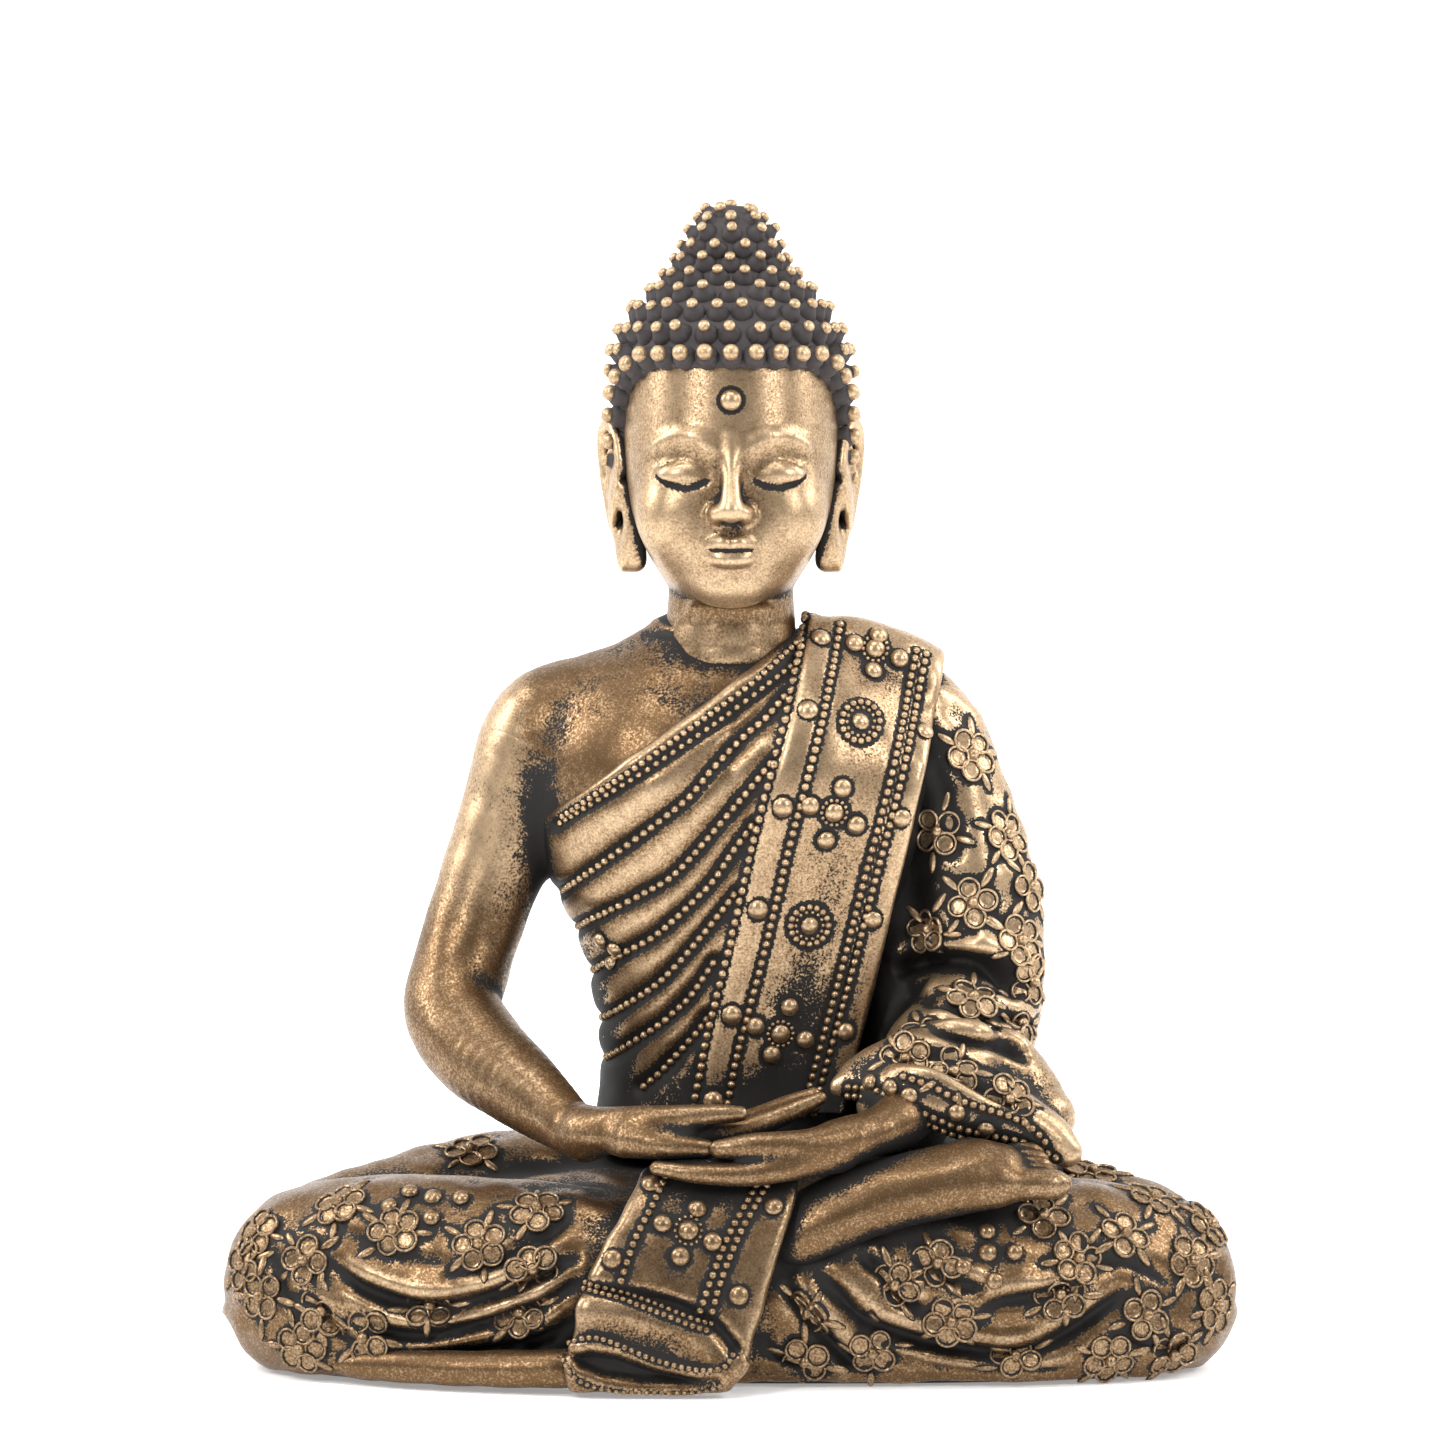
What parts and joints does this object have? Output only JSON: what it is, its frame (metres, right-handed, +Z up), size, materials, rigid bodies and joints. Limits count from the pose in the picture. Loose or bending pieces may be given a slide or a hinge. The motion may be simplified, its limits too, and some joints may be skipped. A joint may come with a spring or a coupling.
{
  "type": "buddha statue",
  "caption": "Seated meditating buddha statue with curled hair, robe over the left shoulder and applied bead, gem and flower ornament.",
  "frame": {"origin": "centre of the felt's underside", "axes": "+Z up, the figure faces -Y, +X towards the figure's own left"},
  "size_m": [0.252, 0.1434, 0.2906],
  "materials": {
    "skin": "antique gold dry-brushed over a black base coat on cast polyresin",
    "robe": "antique gold dry-brushed over a black base coat on cast polyresin, darker in the folds",
    "hair": "charcoal black with gold-tipped curls",
    "ornament": "flat-backed plastic beads and gems, painted over with black and dry-brushed in gold",
    "base_resin": "matte black cast resin",
    "plug_plastic": "matte black moulded bung",
    "felt": "black felt",
    "steel_pins": "plain steel pins"
  },
  "bodies": {
    "root": {"base_felt": "felt", "base_plate": "base_resin", "chest_drape": "robe", "cuff_beads": "ornament", "drape_beads": "ornament", "hair_cap": "hair", "hair_curls": "hair", "head": "skin", "lap_panel": "robe", "lap_panel_beads": "ornament", "lap_panel_gems": "ornament", "left_arm": "robe", "left_ear": "skin", "left_foot": "skin", "left_hand": "skin", "left_leg_flowers": "ornament", "lower_body": "robe", "neck_dowel": "steel_pins", "pour_hole_plug": "plug_plastic", "right_arm": "skin", "right_ear": "skin", "right_foot": "skin", "right_hand": "skin", "right_leg_flowers": "ornament", "right_toes": "skin", "rosette_beads": "ornament", "sash_beads": "ornament", "sash_gems": "ornament", "shoulder_dowels": "steel_pins", "shoulder_fold": "robe", "shoulder_sash": "robe", "sleeve_cuff": "robe", "sleeve_flowers": "ornament", "torso": "skin", "urna": "skin", "waist_dowels": "steel_pins", "wrist_dowels": "steel_pins"}
  },
  "joints": []
}
